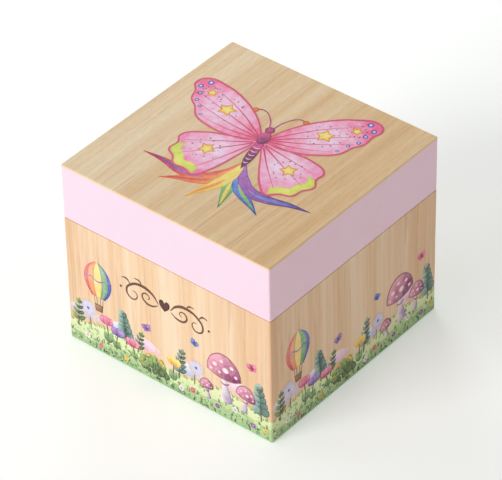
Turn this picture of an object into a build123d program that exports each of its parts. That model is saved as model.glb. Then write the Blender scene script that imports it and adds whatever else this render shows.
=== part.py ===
"""Square wooden keepsake box for a baby's first tooth.

The box is a tray of four mitred fibreboard walls round a bottom panel, each wall faced with
a printed wood veneer. Four neck strips line the tray and stand proud of its rim, and the
loose lid, a mitred frame under a board with a printed veneer, drops over them. A felt sheet
lies on the floor.

Frame: millimetres, +Z up, the printed front faces -Y, and the origin is the middle of the
underside, on the surface that the box stands on.
"""

import os

from build123d import *

# Overall size
BOX_WIDTH = 60.0  # along X
BOX_DEPTH = 60.0  # along Y
TRAY_HEIGHT = 35.0  # floor to parting line

# Tray
CORE_THICKNESS = 3.5  # fibreboard wall behind the veneer
VENEER_THICKNESS = 0.5  # printed wood veneer
BOTTOM_THICKNESS = 3.0  # panel let in between the walls

# Neck that the lid drops over
NECK_THICKNESS = 2.0
NECK_RISE = 5.0  # how far the neck stands above the parting line
NECK_LEAD = 0.6  # chamfer along the neck's upper edges
NECK_CLEARANCE = 0.3  # lid to neck, on each side

# Lid
RAIL_HEIGHT = 11.5
LID_BOARD_THICKNESS = 3.0

# Felt on the floor of the tray
FELT_THICKNESS = 1.0
FELT_CLEARANCE = 0.2  # felt to neck, on each side

# Sanded corners and edges
CORNER_RADIUS = 0.45  # the four upright outer corners
RIM_EASE = 0.06  # upper edge of the tray's veneers, barely touched by the sander
LID_FOOT_EASE = 0.26  # lower edge of the lid, which draws a fine shadow along the parting line
TOP_EASE = 0.16  # upper edge of the lid veneer
FOOT_EASE = 0.2  # edge that meets the table

# A cut runs this far past the faces that it goes through
OVERRUN = 1.0

FLOOR_ALIGN = (Align.CENTER, Align.CENTER, Align.MIN)
SIDES = {"front": 0, "right": 90, "back": 180, "left": 270}


def block(width, depth, low, high):
    """A block centred on the Z axis, from height low to height high."""
    return Pos(0, 0, low) * Box(width, depth, high - low, align=FLOOR_ALIGN)


def sanded_block(width, depth, low, high, top_ease=0.0, bottom_ease=0.0):
    """A block with rounded upright corners, and chamfers round its top and bottom if they are given."""
    shape = block(width, depth, low, high)
    shape = fillet(shape.edges().filter_by(Axis.Z), CORNER_RADIUS)
    if top_ease:
        shape = chamfer(shape.faces().sort_by(Axis.Z)[-1].edges(), top_ease)
    if bottom_ease:
        shape = chamfer(shape.faces().sort_by(Axis.Z)[0].edges(), bottom_ease)
    return shape


def mitred_sides(solid, width, depth, thickness):
    """Hollows a width by depth block to walls of the given thickness and saws it into four at the mitres."""
    box = solid.bounding_box()
    low = box.min.Z
    high = box.max.Z
    hollow = block(width - 2 * thickness, depth - 2 * thickness, low - OVERRUN, high + OVERRUN)
    ring = solid - hollow
    reach = thickness + OVERRUN
    walls = {}
    for side, turn in SIDES.items():
        length, across = (width, depth) if turn in (0, 180) else (depth, width)
        outer = -across / 2
        wedge = Polyline(
            (-length / 2, outer),
            (length / 2, outer),
            (length / 2 - reach, outer + reach),
            (-length / 2 + reach, outer + reach),
            close=True,
        )
        saw = Pos(0, 0, low) * extrude(make_face(wedge), amount=high - low)
        walls[side] = ring & (Rot(0, 0, turn) * saw)
    return walls


def tray_cores():
    """The four fibreboard walls that carry the tray."""
    width = BOX_WIDTH - 2 * VENEER_THICKNESS
    depth = BOX_DEPTH - 2 * VENEER_THICKNESS
    return mitred_sides(block(width, depth, 0, TRAY_HEIGHT), width, depth, CORE_THICKNESS)


def tray_veneers():
    """The printed wood veneers glued over the four walls."""
    skin = sanded_block(BOX_WIDTH, BOX_DEPTH, 0, TRAY_HEIGHT, RIM_EASE, FOOT_EASE)
    return mitred_sides(skin, BOX_WIDTH, BOX_DEPTH, VENEER_THICKNESS)


def bottom_panel():
    """The panel let in between the walls, level with their lower edges."""
    wall = VENEER_THICKNESS + CORE_THICKNESS
    return block(BOX_WIDTH - 2 * wall, BOX_DEPTH - 2 * wall, 0, BOTTOM_THICKNESS)


def neck_strips():
    """The four strips that line the tray and guide the lid, with a lead round their upper edges."""
    wall = VENEER_THICKNESS + CORE_THICKNESS
    width = BOX_WIDTH - 2 * wall
    depth = BOX_DEPTH - 2 * wall
    liner = block(width, depth, BOTTOM_THICKNESS, TRAY_HEIGHT + NECK_RISE)
    liner = chamfer(liner.faces().sort_by(Axis.Z)[-1].edges(), NECK_LEAD)
    return mitred_sides(liner, width, depth, NECK_THICKNESS)


def floor_felt():
    """The felt sheet laid on the bottom panel inside the neck."""
    inset = VENEER_THICKNESS + CORE_THICKNESS + NECK_THICKNESS + FELT_CLEARANCE
    top = BOTTOM_THICKNESS + FELT_THICKNESS
    return block(BOX_WIDTH - 2 * inset, BOX_DEPTH - 2 * inset, BOTTOM_THICKNESS, top)


def lid_rails():
    """The four painted rails of the lid, thinner than the tray's wall by the neck's clearance."""
    thickness = VENEER_THICKNESS + CORE_THICKNESS - NECK_CLEARANCE
    frame = sanded_block(
        BOX_WIDTH, BOX_DEPTH, TRAY_HEIGHT, TRAY_HEIGHT + RAIL_HEIGHT, bottom_ease=LID_FOOT_EASE
    )
    return mitred_sides(frame, BOX_WIDTH, BOX_DEPTH, thickness)


def lid_board():
    """The painted board that closes the lid."""
    low = TRAY_HEIGHT + RAIL_HEIGHT
    return sanded_block(BOX_WIDTH, BOX_DEPTH, low, low + LID_BOARD_THICKNESS)


def lid_veneer():
    """The printed wood veneer on top of the lid, whose edge shows as a thin line above the paint."""
    low = TRAY_HEIGHT + RAIL_HEIGHT + LID_BOARD_THICKNESS
    return sanded_block(BOX_WIDTH, BOX_DEPTH, low, low + VENEER_THICKNESS, top_ease=TOP_EASE)


def box_parts():
    """Every piece of the box, by node name."""
    parts = {
        "tray_bottom_panel": bottom_panel(),
        "tray_floor_felt": floor_felt(),
        "lid_board": lid_board(),
        "lid_top_veneer": lid_veneer(),
    }
    parts |= {f"tray_{side}_wall": wall for side, wall in tray_cores().items()}
    parts |= {f"tray_{side}_veneer": veneer for side, veneer in tray_veneers().items()}
    parts |= {f"neck_{side}_strip": strip for side, strip in neck_strips().items()}
    parts |= {f"lid_{side}_rail": rail for side, rail in lid_rails().items()}
    return parts


def main():
    os.makedirs("parts", exist_ok=True)
    for name, shape in box_parts().items():
        export_step(shape, f"parts/{name}.step")


main()
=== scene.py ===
# %% [markdown]
# # A keepsake box for a baby tooth
#
# The box is a square wooden tray with a deep, loose lid. The tray's walls and the top of the lid are faced
# with a pale wood veneer that carries a printed picture, and the lid's sides are sprayed pale pink. The
# frame brings every wooden piece at its true size, so this lesson is about finishes: wood grain, satin
# paint, raw fibreboard, felt, and watercolour pictures printed over the grain.

import math
import random

import bmesh
import bpy
import numpy as np
from mathutils import Color, Matrix, Vector
from mathutils import noise as field


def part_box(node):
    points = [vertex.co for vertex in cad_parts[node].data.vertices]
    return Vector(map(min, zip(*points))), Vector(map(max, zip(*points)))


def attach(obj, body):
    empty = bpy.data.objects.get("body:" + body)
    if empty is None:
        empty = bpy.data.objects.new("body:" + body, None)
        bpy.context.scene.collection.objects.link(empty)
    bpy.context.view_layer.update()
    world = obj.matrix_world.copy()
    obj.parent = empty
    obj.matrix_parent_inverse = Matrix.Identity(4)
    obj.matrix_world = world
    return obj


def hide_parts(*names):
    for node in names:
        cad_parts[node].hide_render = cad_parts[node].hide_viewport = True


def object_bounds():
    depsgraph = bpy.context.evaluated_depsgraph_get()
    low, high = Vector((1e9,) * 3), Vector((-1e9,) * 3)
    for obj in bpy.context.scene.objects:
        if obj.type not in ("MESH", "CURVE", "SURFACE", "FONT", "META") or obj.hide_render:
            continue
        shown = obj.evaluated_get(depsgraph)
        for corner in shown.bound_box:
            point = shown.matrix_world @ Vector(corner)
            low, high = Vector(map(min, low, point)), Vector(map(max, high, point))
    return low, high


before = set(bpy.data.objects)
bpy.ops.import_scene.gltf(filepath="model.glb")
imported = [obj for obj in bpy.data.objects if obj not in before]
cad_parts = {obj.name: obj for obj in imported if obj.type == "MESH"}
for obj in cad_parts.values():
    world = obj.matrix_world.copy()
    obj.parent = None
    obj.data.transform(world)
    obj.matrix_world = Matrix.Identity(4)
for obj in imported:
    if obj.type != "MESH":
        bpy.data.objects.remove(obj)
cad_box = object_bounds()
MM = 0.001  # Blender works in metres, but a box this small is easier to think about in millimetres

print("pieces in the frame:", len(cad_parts))
print("box in mm:", [round(edge / MM, 2) for edge in cad_box[1] - cad_box[0]])

# %% [markdown]
# ## Sizes that the finishes follow
#
# The pictures have to go round the corners as far as the mitres, and to follow the eased foot, so their
# limits are worked out from the sizes of the box. Reading a size from the frame, rather than typing it
# again, keeps both in step. Only the corner radius and the eased edges, which the bounds of a piece can't
# show, are typed as the part has them.

# %% Read the sizes that the finishes follow
HALF_WIDTH = cad_box[1].x / MM
LID_TOP = cad_box[1].z / MM
CORNER_RADIUS = 0.45  # the upright corners, sanded round
FOOT_EASE = 0.2  # the edge that meets the table, sanded at 45 degrees
TOP_EASE = 0.16  # the upper edge of the lid's veneer
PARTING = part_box("lid_front_rail")[0].z / MM
LID_FOOT_EASE = 0.26  # the lower edge of the lid
SIDES = {"front": 0, "right": 90, "back": 180, "left": 270}  # each wall's turn from the front, degrees

FLAT_HALF = HALF_WIDTH - CORNER_RADIUS
WRAP_HALF = FLAT_HALF + CORNER_RADIUS * math.pi / 4
BOX_MIDDLE = (cad_box[0] + cad_box[1]) / 2

print("a wall is flat to", round(FLAT_HALF, 2), "mm from its middle and ends at", round(WRAP_HALF, 2), "mm")

# %% [markdown]
# ## A short way to write node trees
#
# A procedural finish is a chain of many small nodes. Writing each with its links takes four or five lines,
# so one helper adds a node, sets its properties, and either fills or links each input that it is given. A
# second one does arithmetic, and a third mixes colours. With these, a finish reads like a formula.

# %% Helpers for node trees
def node(tree, kind, inputs=(), **settings):
    """Adds a shader node. inputs maps a socket's name or number to a value, or to the socket to link from."""
    made = tree.nodes.new("ShaderNode" + kind)
    for name, value in settings.items():
        setattr(made, name, value)
    for name, value in dict(inputs).items():
        socket = made.inputs[name]
        if isinstance(value, bpy.types.NodeSocket):
            tree.links.new(value, socket)
        else:
            socket.default_value = (*value, 1) if socket.type == "RGBA" else value
    return made


def maths(tree, operation, *values, clamp=False):
    """One step of arithmetic on sockets or numbers."""
    return node(tree, "Math", enumerate(values), operation=operation, use_clamp=clamp).outputs[0]


def mixed(tree, factor, one, other, blend="MIX"):
    """Two colours, each a socket or three numbers, mixed or blended by a factor."""
    inputs = {0: factor, 6: one, 7: other}
    return node(tree, "Mix", inputs, data_type="RGBA", blend_type=blend).outputs[2]


def spread(tree, value, low, high, to_low=0.0, to_high=1.0):
    """Stretches the range from low to high over another one, with soft ends."""
    inputs = {"Value": value, "From Min": low, "From Max": high, "To Min": to_low, "To Max": to_high}
    return node(tree, "MapRange", inputs, interpolation_type="SMOOTHSTEP").outputs[0]


def noise(tree, place, scale=1.0, detail=2.0, roughness=0.5):
    """Noise from 0 to 1, mostly near 0.5."""
    inputs = {"Vector": place, "Scale": scale, "Detail": detail, "Roughness": roughness}
    return node(tree, "TexNoise", inputs).outputs["Fac"]


def vector(tree, x, y, z):
    """Three numbers or sockets joined into a vector."""
    return node(tree, "CombineXYZ", {"X": x, "Y": y, "Z": z}).outputs[0]


# %% [markdown]
# ## From a colour to a dressed piece
#
# A colour is easiest to read as numbers from 0 to 255, but a shader works in linear light, so one helper
# turns one into the other. The rest start a finish, read the place being shaded in millimetres, raise a
# relief, and give a finish to pieces of the frame.

# %% Helpers for finishes
def pigment(red, green, blue):
    """A colour given as sRGB numbers from 0 to 255, turned into the linear light that shaders use."""
    return Color((red / 255, green / 255, blue / 255)).from_srgb_to_scene_linear()[:]


def place_in_mm(tree):
    """The point being shaded, in millimetres from the middle of the underside."""
    place = node(tree, "TexCoord").outputs["Object"]
    return node(tree, "VectorMath", {0: place, "Scale": 1 / MM}, operation="SCALE").outputs[0]


def parts_in_mm(tree):
    """The same point's X, Y and Z, each a socket."""
    return node(tree, "SeparateXYZ", {0: place_in_mm(tree)}).outputs


def new_finish(name, roughness, specular):
    """A material with one Principled shader. Returns the material, its tree and the shader."""
    finish = bpy.data.materials.new(name)
    finish.use_nodes = True
    tree = finish.node_tree
    shader = next(n for n in tree.nodes if n.type == "BSDF_PRINCIPLED")
    shader.inputs["Roughness"].default_value = roughness
    shader.inputs["Specular IOR Level"].default_value = specular
    return finish, tree, shader


def relief(tree, shader, height, depth_mm, strength):
    """Feeds a height through a bump node, so that light catches the surface's texture."""
    inputs = {"Height": height, "Distance": depth_mm * MM, "Strength": strength}
    tree.links.new(node(tree, "Bump", inputs).outputs[0], shader.inputs["Normal"])


def dress(names, finish):
    """Gives each of these frame pieces one finish."""
    for name in names:
        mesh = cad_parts[name].data
        mesh.materials.clear()
        mesh.materials.append(finish)
    print(finish.name, "on", len(names), "pieces")


print("half way from black to white by eye is", round(pigment(128, 128, 128)[0], 3), "in linear light")

# %% [markdown]
# ## Wood grain
#
# Veneer is sliced along the trunk, so everything in it is drawn out one way: broad bands of colour,
# narrower streaks, fine fibres, short flecks where a fibre dips out of the cut, and dark lines where one
# year's growth ends. Each of these layers is noise, read at a place that is squeezed across the grain and
# stretched along it. The place comes as two sockets, in millimetres across and along the grain.

# %% A layer of the grain
def layer(tree, place, fineness, stretch, shift, detail=2.0):
    """Noise with features about 1 / fineness mm wide, stretched along the grain."""
    across, along = place
    x = maths(tree, "MULTIPLY_ADD", across, fineness, shift)
    y = maths(tree, "MULTIPLY", along, fineness / stretch)
    return noise(tree, vector(tree, x, y, shift), detail=detail)


# %% [markdown]
# ## Bands and streaks
#
# The bands and streaks choose a colour between honey and pale, and all the layers together make it deeper
# or lighter. Multiplying by a tint keeps the dark streaks warm, as they are in real wood, where mixing in
# black would make them grey.

# %% Colour the wood
PALE_WOOD = pigment(244, 220, 191)
MID_WOOD = pigment(242, 208, 171)
HONEY_WOOD = pigment(236, 192, 146)
DEEPENED = (0.895, 0.855, 0.79)  # what the dark and the light streaks multiply the wood's colour by
LIGHTENED = (1.085, 1.14, 1.22)
BAND_DEPTH = 0.24  # how much the bands, streaks and fibres deepen or lighten the wood
STREAK_DEPTH = 0.46
FIBRE_DEPTH = 0.30


def streaked(tree, place, fibres, fleck_strength):
    """The wood's colour from its bands, streaks, fibres and flecks."""
    bands = spread(tree, layer(tree, place, 0.17, 40, shift=11.0), 0.34, 0.66)
    streaks = spread(tree, layer(tree, place, 0.85, 60, detail=3.0, shift=5.0), 0.25, 0.75)
    flecks = maths(tree, "SUBTRACT", layer(tree, place, 2.0, 4.0, shift=51.0), 0.5)
    tone = maths(tree, "MULTIPLY_ADD", bands, 0.28, 0.33)
    tone = maths(tree, "MULTIPLY_ADD", streaks, 0.06, tone)
    ramp = node(tree, "ValToRGB", {"Fac": tone})
    stops = ramp.color_ramp.elements
    for stop, (where, colour) in zip((stops[0], stops.new(0.5), stops[-1]),
                                     ((0.14, HONEY_WOOD), (0.5, MID_WOOD), (0.86, PALE_WOOD))):
        stop.position = where
        stop.color = (*colour, 1)
    depth = maths(tree, "MULTIPLY", bands, BAND_DEPTH)
    for part, strength in ((streaks, STREAK_DEPTH), (fibres, FIBRE_DEPTH), (flecks, fleck_strength)):
        depth = maths(tree, "MULTIPLY_ADD", part, strength, depth)
    tint = mixed(tree, depth, DEEPENED, LIGHTENED)
    return mixed(tree, 1.0, ramp.outputs["Color"], tint, "MULTIPLY")


# %% [markdown]
# ## Growth lines and pores
#
# Noise crosses its middle level along long, winding lines, so a narrow range round that level gives thin
# lines that run with the grain. A second layer leaves gaps in them. The growth lines, the shorter dashes
# and the pores are all mixed in as one brown.

# %% Draw the dark lines
GROWTH_LINE = pigment(176, 128, 86)
GROWTH_STRENGTH = 0.28  # how dark the growth lines, the short dashes and the pores are
DASH_STRENGTH = 0.14
PORE_STRENGTH = 0.10


def broken_line(tree, place, fineness, width, length, shift):
    """Thin lines where a layer crosses its middle level, broken into pieces."""
    off_middle = maths(tree, "SUBTRACT", layer(tree, place, fineness, 90, detail=1.0, shift=shift), 0.5)
    line = spread(tree, maths(tree, "ABSOLUTE", off_middle), 0.0, width, 1.0, 0.0)
    gaps = layer(tree, place, 0.6 * fineness, 0.6 * fineness * length, shift=shift + 10)
    return maths(tree, "MULTIPLY", line, spread(tree, gaps, 0.48, 0.62))


def with_dark_lines(tree, place, wood):
    """The wood with its growth lines, dashes and pores. Returns its colour, and the pores by themselves."""
    growth = maths(tree, "MULTIPLY", broken_line(tree, place, 0.42, 0.034, 30, 21.0), GROWTH_STRENGTH)
    dashes = maths(tree, "MULTIPLY", broken_line(tree, place, 0.95, 0.05, 14, 61.0), DASH_STRENGTH)
    pores = layer(tree, place, 3.4, 10.0, detail=1.0, shift=41.0)
    pores = spread(tree, pores, 0.64, 0.78, 0.0, PORE_STRENGTH)
    for dark in (growth, dashes, pores):
        wood = mixed(tree, dark, wood, GROWTH_LINE)
    return wood, pores


# %% [markdown]
# ## One group for the grain
#
# The printing ink needs the same grain under its colour. The grain is therefore one node group, because a
# group that the veneer and the ink share lines up exactly. The trunk wasn't quite straight, so a coarse
# layer, read at the straight place, first moves the place of all the others sideways.

# %% Build the grain group
SWAY = 2.4  # how far the grain wanders sideways, mm


def build_grain():
    """A node group: mm across and along the grain and the flecks' strength in, colour and fibres out."""
    tree = bpy.data.node_groups.new("veneer_grain", "ShaderNodeTree")
    for way, kind, names in (("INPUT", "Float", ("Across", "Along", "Flecks")),
                             ("OUTPUT", "Color", ("Color",)), ("OUTPUT", "Float", ("Fibres",))):
        for name in names:
            tree.interface.new_socket(name, in_out=way, socket_type="NodeSocket" + kind)
    given = tree.nodes.new("NodeGroupInput").outputs
    across, along = given["Across"], given["Along"]
    sway = layer(tree, (across, along), 0.03, 2.0, detail=1.0, shift=3.0)
    place = (maths(tree, "MULTIPLY_ADD", sway, SWAY, across), along)
    fibres = layer(tree, place, 3.2, 40, detail=3.0, shift=7.0)
    wood, pores = with_dark_lines(tree, place, streaked(tree, place, fibres, given["Flecks"]))
    out = tree.nodes.new("NodeGroupOutput")
    tree.links.new(wood, out.inputs["Color"])
    tree.links.new(maths(tree, "SUBTRACT", fibres, pores), out.inputs["Fibres"])
    return tree


GRAIN = build_grain()
print("nodes in the grain group:", len(GRAIN.nodes))

# %% [markdown]
# ## Grain on the walls and on the lid
#
# On the walls the grain stands upright. Adding x and y gives a number that runs along all four walls
# without a change of code, and the remainder after one wall's width makes every wall start the same sheet
# afresh at its mitre, as a printed sheet would. Each sheet is palest in its middle. On the lid the grain
# runs from front to back, with more flecks in it, and its colour grows deeper towards the right, partly as
# the wood's own drift and partly as a painted sheen that pales and cools its left side.

# %% Read the grain on either kind of face
WALL_MIDDLE = (1.04, 1.07, 1.09)  # tints that the wood is multiplied by
WALL_ENDS = (0.985, 0.95, 0.925)
# on the lid the drift is partly the wood's own tone and partly painted sheen, pale and cool on the left
LID_LEFT_TONE_AND_SHEEN = (0.985, 1.055, 1.02)
LID_RIGHT_TONE_AND_SHADE = (0.905, 0.865, 0.71)
WALL_FLECKS = 0.18
LID_FLECKS = 0.75
LID_START = 3 * HALF_WIDTH  # the lid's veneer is cut beyond the walls' sheet, so its grain is another


def grain_node(tree, across, along, flecks):
    """The grain group's colour and fibres at a place."""
    made = node(tree, "Group", {"Across": across, "Along": along, "Flecks": flecks}, node_tree=GRAIN)
    return made.outputs["Color"], made.outputs["Fibres"]


def tinted(tree, wood, factor, one, other):
    """The wood's colour, drifting from one tint to another."""
    return mixed(tree, 1.0, wood, mixed(tree, factor, one, other), "MULTIPLY")


def wall_grain(tree):
    """The grain group, read upright on the walls, and palest in the middle of each."""
    parts = parts_in_mm(tree)
    round_box = maths(tree, "ADD", parts["X"], parts["Y"])
    across = maths(tree, "FLOORED_MODULO", round_box, 2 * HALF_WIDTH)
    wood, fibres = grain_node(tree, across, parts["Z"], WALL_FLECKS)
    off_middle = maths(tree, "ABSOLUTE", maths(tree, "SUBTRACT", across, HALF_WIDTH))
    return tinted(tree, wood, spread(tree, off_middle, 0.0, HALF_WIDTH), WALL_MIDDLE, WALL_ENDS), fibres


def lid_grain(tree):
    """The lid's grain, front to back, its own tone deeper to the right, with painted sheen on the left."""
    parts = parts_in_mm(tree)
    wood, fibres = grain_node(tree, maths(tree, "ADD", parts["X"], LID_START), parts["Y"], LID_FLECKS)
    rightwards = spread(tree, parts["X"], -HALF_WIDTH, HALF_WIDTH)
    return tinted(tree, wood, rightwards, LID_LEFT_TONE_AND_SHEEN, LID_RIGHT_TONE_AND_SHADE), fibres


print("the lid's grain starts", round(LID_START - HALF_WIDTH), "mm past the start of the walls' sheet")

# %% [markdown]
# ## The sealed veneer
#
# A matt seal leaves the fibres just readable to the touch, so the roughness is high and the bump is only a
# hundredth of a millimetre. Along the lid's rim the sander has cut through to clean wood, which shows as a
# thin pale line, and near the upright corners the wood is a little darker. Two masks on place pick these
# out: one on the height, just under the lid's face, and one on the distance to the corner.

# %% Veneer finishes
CUT_EDGE = pigment(248, 215, 180)
CORNER_DARKENING = pigment(230, 186, 142)
CORNER_DARK_REACH = 0.7  # how far along a wall the darker corner reaches, mm
FIBRE_RELIEF = 0.01  # how far the fibres stand up under the seal, mm


def veneer_finish(name, grain, cut_below=None):
    """Sealed veneer, with a clean-cut edge below a height, or else with darker upright corners."""
    finish, tree, shader = new_finish(name, roughness=0.55, specular=0.35)
    colour, fibres = grain(tree)
    parts = parts_in_mm(tree)
    if cut_below is None:
        # the wood is a little darker near the upright corners
        nearer = maths(tree, "MINIMUM", *(maths(tree, "ABSOLUTE", parts[axis]) for axis in "XY"))
        corner_dark = spread(tree, nearer, FLAT_HALF - CORNER_DARK_REACH, HALF_WIDTH - CORNER_RADIUS / 2, 0.0, 0.7)
        colour = mixed(tree, corner_dark, colour, CORNER_DARKENING)
    else:
        cut = spread(tree, parts["Z"], cut_below, cut_below + TOP_EASE / 2, 0.9, 0.0)
        colour = mixed(tree, cut, colour, CUT_EDGE)
    tree.links.new(colour, shader.inputs["Base Color"])
    tree.links.new(spread(tree, fibres, 0.2, 0.8, 0.62, 0.5), shader.inputs["Roughness"])
    relief(tree, shader, fibres, FIBRE_RELIEF, 0.5)
    return finish


wall_veneer = veneer_finish("wall_veneer", wall_grain)
lid_veneer = veneer_finish("lid_veneer", lid_grain, cut_below=LID_TOP - TOP_EASE)
dress([f"tray_{side}_veneer" for side in SIDES], wall_veneer)
dress(["lid_top_veneer"], lid_veneer)

# %% [markdown]
# ## Satin paint
#
# The lid's sides are sprayed fibreboard, rubbed down between coats. Sprayed paint isn't quite flat: it
# dries with a faint orange-peel ripple about a millimetre across, and the gloss is a little uneven. Both
# come from noise. The colour itself hardly changes, so its noise is kept to about one part in a hundred.
# Along the lid's lower edge a mask on the height paints a brown line of shadow, for the shade in the fine gap
# where the lid sits on the tray.

# %% Pink paint
PINK = pigment(253, 220, 235)
DEEP_PINK = pigment(252, 218, 233)
PARTING_SHADOW = pigment(182, 142, 130)
SHADOW_SKIN = 1.0  # the painted shadow line shows only this near the outside, mm
PAINT_RIPPLE = 0.012  # how far the paint's surface rises and falls, mm


def paint_finish():
    """Satin paint with a faint ripple, and a painted brown shadow line along the lid's lower edge."""
    finish, tree, shader = new_finish("pink_satin_paint", roughness=0.42, specular=0.4)
    place = place_in_mm(tree)
    mottle = spread(tree, noise(tree, place, 0.12, 3.0), 0.35, 0.7)
    paint = mixed(tree, mottle, PINK, DEEP_PINK)
    parts = parts_in_mm(tree)
    outside = maths(tree, "MAXIMUM", *(maths(tree, "ABSOLUTE", parts[axis]) for axis in "XY"))
    # painted shadow: a brown line on the lid's lower edge stands for the shade in the gap above the tray
    parting_shade = spread(tree, parts["Z"], PARTING + LID_FOOT_EASE * 0.8, PARTING + LID_FOOT_EASE, 0.85, 0.0)
    parting_shade = maths(tree, "MULTIPLY", parting_shade, maths(tree, "GREATER_THAN", outside, HALF_WIDTH - SHADOW_SKIN))
    tree.links.new(mixed(tree, parting_shade, paint, PARTING_SHADOW), shader.inputs["Base Color"])
    gloss = spread(tree, noise(tree, place, 0.4, 2.0), 0.3, 0.7, 0.38, 0.47)
    tree.links.new(gloss, shader.inputs["Roughness"])
    relief(tree, shader, noise(tree, place, 1.1, 1.5), PAINT_RIPPLE, 0.6)
    return finish


pink_paint = paint_finish()
painted = [name.format(side) for name in ("lid_{}_rail", "neck_{}_strip") for side in SIDES]
dress(["lid_board", *painted], pink_paint)

# %% [markdown]
# ## Raw fibreboard
#
# The tray's walls behind the veneer, and its bottom, are fibreboard, which shows along the rim when the lid
# is off. It is pressed from wood dust, so it has no grain: just brown flecks of two sizes with a few pale
# fibres.

# %% Fibreboard
BOARD_BROWN = pigment(190, 156, 118)
BOARD_DARK = pigment(150, 116, 82)
BOARD_FLECK = pigment(216, 188, 152)
BOARD_TEXTURE = 0.03  # how rough the pressed dust is, mm


def board_finish():
    """Bare fibreboard: brown dust with pale flecks."""
    finish, tree, shader = new_finish("raw_fibreboard", roughness=0.85, specular=0.25)
    place = place_in_mm(tree)
    dust = spread(tree, noise(tree, place, 2.6, 4.0, 0.65), 0.35, 0.68)
    flecks = spread(tree, noise(tree, place, 5.5, 1.0), 0.62, 0.72, 0.0, 0.6)
    colour = mixed(tree, flecks, mixed(tree, dust, BOARD_DARK, BOARD_BROWN), BOARD_FLECK)
    tree.links.new(colour, shader.inputs["Base Color"])
    relief(tree, shader, noise(tree, place, 4.0, 3.0), BOARD_TEXTURE, 0.7)
    return finish


raw_board = board_finish()
dress(["tray_bottom_panel", *(f"tray_{side}_wall" for side in SIDES)], raw_board)

# %% [markdown]
# ## The felt on the floor
#
# A square of craft felt lies on the bottom panel. Felt is pressed fibre, so its edge is soft and its face
# gently uneven. Cloth could be simulated, but this piece lies flat with the neck close on all four sides,
# so it is modelled as it lies: a grid is given its thickness by extruding it, its rim is rounded by
# bevelling, and its face is lifted and lowered a little by noise from Blender's own noise module.

# %% Cut the felt
FELT_BUMP = 0.05  # how far the face rises and falls, mm
FELT_RIM = 0.25  # how round its upper rim is, mm
FELT_CELLS = 60


def cut_felt():
    """The felt as a bmesh in millimetres, where it lies."""
    low, high = (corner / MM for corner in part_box("tray_floor_felt"))
    felt = bmesh.new()
    bmesh.ops.create_grid(felt, x_segments=FELT_CELLS, y_segments=FELT_CELLS, size=high.x)
    bmesh.ops.scale(felt, verts=felt.verts[:], vec=(1, high.y / high.x, 1))
    grown = bmesh.ops.extrude_face_region(felt, geom=felt.faces[:])["geom"]
    face = [v for v in grown if isinstance(v, bmesh.types.BMVert)]
    bmesh.ops.translate(felt, verts=face, vec=(0, 0, high.z - low.z))
    top = high.z - low.z
    sharp = [e for e in felt.edges if e.is_manifold and e.calc_face_angle() > 1]
    rim = [e for e in sharp if min(v.co.z for v in e.verts) > top / 2]
    bmesh.ops.bevel(felt, geom=rim, offset=FELT_RIM, offset_type="OFFSET", segments=3, affect="EDGES",
                    profile=0.5, material=-1)
    for v in felt.verts:
        if v.co.z > top / 2:
            for fineness, share in ((0.7, 2), (2.3, 4)):
                v.co.z -= FELT_BUMP * (1 + field.noise(v.co * fineness)) / share
    bmesh.ops.translate(felt, verts=felt.verts[:], vec=(0, 0, low.z))
    return felt


felt_shape = cut_felt()
print("the felt has", len(felt_shape.faces), "faces")

# %% [markdown]
# ## From a shape to a piece
#
# A bmesh isn't yet part of the scene. Every new piece, the felt here and the pictures later, goes through
# one function. It turns millimetres into metres, points the faces outwards, makes the object with its
# finish, and then hangs the piece on the body that carries it.

# %% Make a piece of a shape
def as_piece(name, shape, finish, body, smooth=False):
    """Turns a bmesh in millimetres into a finished piece that rides on a body."""
    bmesh.ops.scale(shape, verts=shape.verts[:], vec=(MM, MM, MM))
    bmesh.ops.recalc_face_normals(shape, faces=shape.faces[:])
    for face in shape.faces:
        face.smooth = smooth
    mesh = bpy.data.meshes.new(name)
    shape.to_mesh(mesh)
    shape.free()
    mesh.materials.append(finish)
    piece = bpy.data.objects.new(name, mesh)
    bpy.context.scene.collection.objects.link(piece)
    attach(piece, body)
    print(name, "has", len(mesh.polygons), "faces")
    return piece


# %% [markdown]
# ## Lay the felt
#
# The fuzz is far too fine to model, so it is left to the shader's sheen, over two pinks that noise mats
# together. The felt then takes the place of the frame's plain solid, which is hidden.

# %% Finish and lay the felt
FELT_PINK = pigment(232, 170, 196)
FELT_DEEP = pigment(206, 132, 166)
FELT_NAP = 0.08  # how far the fibres of its face stand up, mm


def felt_finish():
    """Matted pink fibre with a soft sheen."""
    finish, tree, shader = new_finish("craft_felt", roughness=0.95, specular=0.15)
    place = place_in_mm(tree)
    matted = spread(tree, noise(tree, place, 1.4, 5.0, 0.7), 0.3, 0.7)
    tree.links.new(mixed(tree, matted, FELT_DEEP, FELT_PINK), shader.inputs["Base Color"])
    shader.inputs["Sheen Weight"].default_value = 0.35
    shader.inputs["Sheen Roughness"].default_value = 0.5
    relief(tree, shader, noise(tree, place, 6.0, 4.0, 0.7), FELT_NAP, 0.8)
    return finish


felt = as_piece("floor_felt", felt_shape, felt_finish(), "tray", smooth=True)
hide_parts("tray_floor_felt")

# %% [markdown]
# ## Pictures as thin films of ink
#
# A picture could be an image, but then its edges blur when someone looks closely. Here each patch of colour
# is a real film of ink, three to twelve hundredths of a millimetre thick, cut from a curve and laid on the
# veneer. All the films of one wall are drawn on a flat page first, in millimetres, and the page is then
# wrapped round the wall.
#
# Every point of a film carries what the ink's shader needs: a light and a deep colour, how far the colour
# has fallen from one to the other, how far the film's rim is, and how well the ink covers the wood.

# %% A page and its curves
def new_page():
    """An empty page, whose points can carry colours and numbers."""
    page = bmesh.new()
    for name in ("light", "deep"):
        page.verts.layers.float_color.new(name)
    for name in ("fall", "edge", "cover"):
        page.verts.layers.float.new(name)
    return page


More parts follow.
